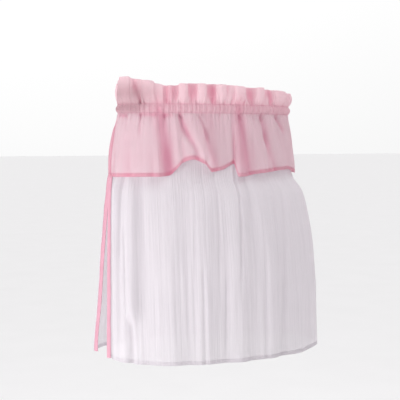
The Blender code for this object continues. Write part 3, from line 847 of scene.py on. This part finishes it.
upper_seam = np.flatnonzero(heading_names == "front")[-1]
lower_seam = np.flatnonzero(heading_names == "valance")[0]
valance_rows = heading_names == "valance"
heading_seams = [(heading_grid[row], level_normals(heading_arc[row])) for row in (upper_seam, lower_seam)]
heading_seams.append(line_above_foot(heading_grid[valance_rows], heading_arc[valance_rows], UP_HEM * HEM))
stitches_heading = stitch_rows("stitches_heading", heading_seams, 51)
net_front = slice(0, len(net_grid) - len(HEM_TUCK))
net_arcs = np.broadcast_to(np.linspace(0.0, HOOP_LENGTH, NET_COLUMNS), net_grid.shape[:2])
net_seam = line_above_foot(net_grid[net_front], net_arcs[net_front], UP_NET_HEM * NET_HEM)
stitches_net = stitch_rows("stitches_net", [net_seam], 52)
stitches_bindings = {side_name: stitch_rows("stitches_binding_" + side_name, seams, 53)
                     for side_name, seams in binding_seams.items()}

# %% [markdown]
# ## Materials
# Each finish starts from the real cloth. One function turns the hex colours, which are as seen on a screen,
# into the linear values that the shader wants, and one adds a node with its settings and links. It returns
# the node with the name or number of the output that is wanted, which is what the next node's link takes.

# %% Colours and nodes
def linear(code):
    """An sRGB hex colour as linear red, green, blue and alpha."""
    srgb = np.array([int(code[i:i + 2], 16) for i in (0, 2, 4)]) / 255
    value = np.where(srgb <= 0.04045, srgb / 12.92, ((srgb + 0.055) / 1.055) ** 2.4)
    return (*value.tolist(), 1.0)


def add_node(owner, kind, settings=None, values=None, links=None, output=0):
    """A node of a kind, with settings (properties), values (numbers on its sockets) and links (what feeds a
    socket, as (node, output)). Returned as (node, output)."""
    node = owner.node_tree.nodes.new("ShaderNode" + kind)
    for name, value in (settings or {}).items():
        setattr(node, name, value)
    for name, value in (values or {}).items():
        node.inputs[name].default_value = value
    for name, (source, source_output) in (links or {}).items():
        owner.node_tree.links.new(source.outputs[source_output], node.inputs[name])
    return node, output


def new_material(name):
    """An empty material."""
    material = bpy.data.materials.new(name)
    material.use_nodes = True
    material.node_tree.nodes.clear()
    return material


# %% [markdown]
# The two sheer cloths share one build. The cloth shows its colour by reflection and lets some light through,
# so a Principled shader is mixed with a Translucent one. Between its threads there is nothing, so that mix is
# mixed again with a Transparent shader, by a cover that drops in the openings of the weave. The real openings
# are 0.3 mm in voile and 1.2 mm in netting; they are drawn three and two times as coarse, so that they show.
# Both are drawn with crossed threads. Netting is really knitted, which is too fine to tell at this distance.

# %% A sheer cloth
def sheer_cloth(name, pale, deep, glow, shade_grey, cover, weave_m, look):
    """A sheer cloth. pale and deep are its colours on a crest and in a fold or hem; in a fold the deep colour
    is painted shade, in a hem it is the doubled cloth. glow is the colour of light that comes through, the
    grey after it the painted grey shade of both over the strip's first end, and cover the share of the
    surface that its threads fill."""
    material = new_material(name)
    cloth_map = add_node(material, "UVMap", {"uv_map": "cloth"})
    fold, layers, grey_shade = [add_node(material, "Attribute", {"attribute_name": mark}, output="Fac")
                            for mark in ("fold", "layers", "painted_grey_shade")]
    # places on the cloth, stretched for upright streaks, for the two sets of threads and for its crinkles
    upright, threads, crumpled = [
        add_node(material, "Mapping", values={"Scale": (*scale, 1.0)}, links={"Vector": cloth_map})
        for scale in ((look["streaks"], look["streaks"] / 90), (1 / weave_m, 1 / weave_m), (120.0, 34.0))]
    # long upright streaks, where gathered threads bunch and are denser; slow clouds of dye; and crinkles
    bunches, clouds, crinkles = [
        add_node(material, "TexNoise", values={"Scale": scale, "Detail": detail, "Roughness": roughness},
                 links={"Vector": where}, output="Fac")
        for where, scale, detail, roughness in (
            (upright, 1.0, 3.0, 0.6), (cloth_map, 9.0, 2.0, 0.5), (crumpled, 1.0, 2.0, 0.55))]
    # how deep the colour is: painted shade in folds, doubled cloth in hems, give or take the streaks and the
    # clouds
    depth = add_node(material, "Math", {"operation": "MULTIPLY_ADD"},
                     {1: look["fold_shade_depth"], 2: look["base_depth"]}, {0: fold})
    depth = add_node(material, "Math", {"operation": "MULTIPLY_ADD"}, {1: look["layer_depth"]},
                     {0: layers, 2: depth})
    for pattern, amount, last in ((bunches, look["uneven"], False), (clouds, look["cloudy"], True)):
        change = add_node(material, "MapRange", values={"From Min": 0.3, "From Max": 0.7, "To Min": -amount,
                          "To Max": amount}, links={"Value": pattern})
        depth = add_node(material, "Math", {"operation": "ADD", "use_clamp": last},
                         links={0: depth, 1: change})
    # painted grey shade: both colours are made greyer over the strip's first end
    colour = add_node(material, "Mix", {"data_type": "RGBA"}, {6: linear(pale), 7: linear(deep)},
                      {0: depth}, 2)
    colour = add_node(material, "Mix", {"data_type": "RGBA"}, {7: linear(shade_grey)}, {0: grey_shade, 6: colour}, 2)
    shine = add_node(material, "Mix", {"data_type": "RGBA"}, {6: linear(glow), 7: linear(shade_grey)},
                     {0: grey_shade}, 2)
    # weave: two sets of threads at right angles, seen as openings and as a fine relief
    warp, weft = [add_node(material, "TexWave", {"bands_direction": way},
                           {"Scale": 1 / np.pi, "Distortion": 0.6, "Detail": 1.0}, {"Vector": threads}, "Fac")
                  for way in "XY"]
    weave = add_node(material, "Math", {"operation": "MAXIMUM"}, links={0: warp, 1: weft})
    openings = add_node(material, "MapRange", values={
        "From Min": 0.25, "From Max": 0.9, "To Min": cover - look["opening"],
        "To Max": min(1.0, cover + look["opening"])}, links={"Value": weave})
    covered = add_node(material, "Math", {"operation": "MULTIPLY_ADD", "use_clamp": True},
                       {1: look["layer_cover"]}, {0: layers, 2: openings})
    relief = add_node(material, "Bump", values={"Strength": 0.25, "Distance": 0.0002},
                      links={"Height": weave})
    relief = add_node(material, "Bump", values={"Strength": look["crinkle"], "Distance": 0.0010},
                      links={"Height": crinkles, "Normal": relief})
    surface = add_node(material, "BsdfPrincipled", values={
        "Roughness": look["roughness"], "Specular IOR Level": 0.3, "Sheen Weight": look["sheen"],
        "Sheen Roughness": 0.4}, links={"Base Color": colour, "Normal": relief})
    through = add_node(material, "BsdfTranslucent", links={"Color": shine, "Normal": relief})
    lit = add_node(material, "MixShader", values={0: look["through"]}, links={1: surface, 2: through})
    clear = add_node(material, "BsdfTransparent")
    whole = add_node(material, "MixShader", links={0: covered, 1: clear, 2: lit})
    add_node(material, "OutputMaterial", links={"Surface": whole})
    return material


# Polyester voile: crisp, fine plain weave, with a faint sheen. Deeper and more saturated in its folds, as
# painted shade.
voile = sheer_cloth("polyester_voile_pink", "f6e5e9", "de86a2", "f1d3db", "cfafb6", 0.88, 0.0009, {
    "streaks": 260.0, "uneven": 0.05, "cloudy": 0.05, "base_depth": 0.12, "fold_shade_depth": 0.42,
    "layer_depth": 0.62, "opening": 0.08, "layer_cover": 0.12, "crinkle": 0.30, "roughness": 0.65,
    "sheen": 0.15, "through": 0.55})
# Knitted polyester netting: soft, matt, nearly white, denser where many gathers lie together, greyer in its
# folds as painted shade.
netting = sheer_cloth("polyester_netting_white", "eae5ea", "b6b0b6", "e5e0e4", "d0ccd0", 0.84, 0.0024, {
    "streaks": 330.0, "uneven": 0.16, "cloudy": 0.04, "base_depth": 0.14, "fold_shade_depth": 0.45,
    "layer_depth": 0.00, "opening": 0.14, "layer_cover": 0.20, "crinkle": 0.30, "roughness": 0.80,
    "sheen": 0.10, "through": 0.35})

# %% [markdown]
# The bindings are satin: a closed weave whose long threads lie along the strip, so it has a soft gloss. Its
# ribs are 0.5 mm apart and run down the strip.

# %% Satin
def satin_cloth():
    """Satin ribbon: even colour with slow unevenness, fine ribs and a soft gloss."""
    material = new_material("satin_binding_pink")
    cloth_map = add_node(material, "UVMap", {"uv_map": "cloth"})
    tone = add_node(material, "TexNoise", values={"Scale": 28.0}, links={"Vector": cloth_map}, output="Fac")
    colour = add_node(material, "Mix", {"data_type": "RGBA"}, {6: linear("d9a2b3"), 7: linear("cb92a4")},
                      {0: tone}, 2)
    drawn_out = add_node(material, "Mapping", values={"Scale": (2000.0, 60.0, 1.0)},
                         links={"Vector": cloth_map})
    ribs = add_node(material, "TexNoise", values={"Scale": 1.0, "Detail": 1.0}, links={"Vector": drawn_out},
                    output="Fac")
    relief = add_node(material, "Bump", values={"Strength": 0.3, "Distance": 0.0002}, links={"Height": ribs})
    surface = add_node(material, "BsdfPrincipled", values={
        "Roughness": 0.45, "Specular IOR Level": 0.4, "Sheen Weight": 0.2, "Sheen Roughness": 0.4},
        links={"Base Color": colour, "Normal": relief})
    add_node(material, "OutputMaterial", links={"Surface": surface})
    return material


# %% [markdown]
# The thread is spun polyester, a little darker than the pink cloth, so that its rows show as they do in the
# photograph. The net's hem is sewn with white thread of the same kind.

# %% Thread
def spun_thread(name, light, dark):
    """Spun thread: matt, a little uneven in colour, with a fine twist that shows as relief."""
    material = new_material(name)
    coordinates = add_node(material, "TexCoord", output="Object")
    tone = add_node(material, "TexNoise", values={"Scale": 400.0}, links={"Vector": coordinates},
                    output="Fac")
    colour = add_node(material, "Mix", {"data_type": "RGBA"}, {6: linear(light), 7: linear(dark)},
                      {0: tone}, 2)
    relief = add_node(material, "Bump", values={"Strength": 0.3, "Distance": 0.0001}, links={"Height": tone})
    surface = add_node(material, "BsdfPrincipled", values={"Roughness": 0.7, "Specular IOR Level": 0.3},
                       links={"Base Color": colour, "Normal": relief})
    add_node(material, "OutputMaterial", links={"Surface": surface})
    return material


satin = satin_cloth()
pink_thread = spun_thread("spun_thread_pink", "cf97a8", "b67b90")
white_thread = spun_thread("spun_thread_white", "e6e2e6", "cfcacf")

# %% [markdown]
# ## Studio
# A plain pale floor lies well below the canopy, which hangs. The light is soft and comes mainly from the
# left of the photograph, so the closed end on the right is in a grey shade; a weak lamp on the right keeps
# that shade open. The pale surround is a little brighter above, behind the canopy and on the left, as in a
# white room, so the floor and the far end stay pale.

# %% Floor, surround and lights
FLOOR_Z = -1.6
FLOOR_HALF = 90.0
GLOW = 0.60
GLOW_LEFT = 0.10
GLOW_BEHIND = 0.36
GLOW_ABOVE = 0.46


def floor_piece():
    """A flat square floor of pale painted board."""
    side = np.array([-FLOOR_HALF, FLOOR_HALF])
    x, y = np.meshgrid(side, -side)
    points = np.stack([x, y, np.full_like(x, FLOOR_Z)], axis=-1)
    floor = cloth_mesh("floor", points, points[..., :2])
    material = new_material("painted_board_floor")
    coordinates = add_node(material, "TexCoord", output="Object")
    grain = add_node(material, "TexNoise", values={"Scale": 3.0, "Detail": 3.0},
                     links={"Vector": coordinates}, output="Fac")
    colour = add_node(material, "Mix", {"data_type": "RGBA"}, {6: linear("faf9fa"), 7: linear("f6f5f6")},
                      {0: grain}, 2)
    surface = add_node(material, "BsdfPrincipled", values={"Roughness": 0.9, "Specular IOR Level": 0.1},
                       links={"Base Color": colour})
    add_node(material, "OutputMaterial", links={"Surface": surface})
    floor.data.materials.append(material)
    return floor


def soft_lamp(name, turn, rise, away, size, power):
    """A square area lamp that looks at the canopy: turn degrees round from the camera's side, to the right,
    and rise degrees up."""
    lamp = bpy.data.lights.new(name, "AREA")
    lamp.shape = "SQUARE"
    lamp.size = size
    lamp.energy = power
    holder = bpy.data.objects.new(name, lamp)
    bpy.context.scene.collection.objects.link(holder)
    a, e = CAMERA_TURN + np.radians(turn), np.radians(rise)
    way = np.array([np.sin(a) * np.cos(e), -np.cos(a) * np.cos(e), np.sin(e)])
    middle = np.array([HOOP_CENTRE_X, 0.0, -0.35])
    holder.location = middle + away * way
    holder.rotation_euler = (np.pi / 2 - e, 0.0, a)
    holder.visible_camera = False


floor_piece()
soft_lamp("key_left", -46.0, -8.0, 2.3, 1.1, 27.0)
soft_lamp("overhead", 0.0, 90.0, 1.6, 1.8, 6.0)
soft_lamp("fill_right", 28.0, 44.0, 1.5, 0.9, 4.4)
world = bpy.data.worlds.new("studio")
world.use_nodes = True
surround = world.node_tree.nodes["Background"]
surround.inputs["Color"].default_value = linear("ffffff")
right = np.array([np.cos(CAMERA_TURN), np.sin(CAMERA_TURN), 0.0])
brightest = -GLOW_LEFT * right - GLOW_BEHIND * back + GLOW_ABOVE * np.array([0.0, 0.0, 1.0])
direction = add_node(world, "TexCoord", output="Generated")
brighter = add_node(world, "VectorMath", {"operation": "DOT_PRODUCT"}, {1: brightest}, {0: direction},
                    "Value")
glow, sum_output = add_node(world, "Math", {"operation": "ADD"}, {1: GLOW}, {0: brighter})
world.node_tree.links.new(glow.outputs[sum_output], surround.inputs["Strength"])
bpy.context.scene.world = world
bpy.context.scene.view_settings.view_transform = "Standard"

# %% [markdown]
# ## What stands for what
# Each piece takes its finish, rides on the one body of the canopy and replaces the plain solid that it stands
# for.

# %% Tie the pieces to the imported model
for piece, finish, node, finish_slot in (
    (heading, voile, "heading_valance", "pink_sheer"),
    (stitches_heading, pink_thread, "heading_valance", "pink_sheer"),
    (pocket_back, voile, "pocket_back", "pink_sheer"), (net, netting, "net_wall", "white_net"),
    (stitches_net, white_thread, "net_wall", "white_net"), (top, netting, "net_top", "white_net"),
    *((bindings[side], satin, "binding_" + side, "pink_binding") for side in bindings),
    *((stitches_bindings[side], pink_thread, "binding_" + side, "pink_binding") for side in bindings),
):
    piece.data.materials.append(finish)
    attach(piece, "root")
    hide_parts(node)
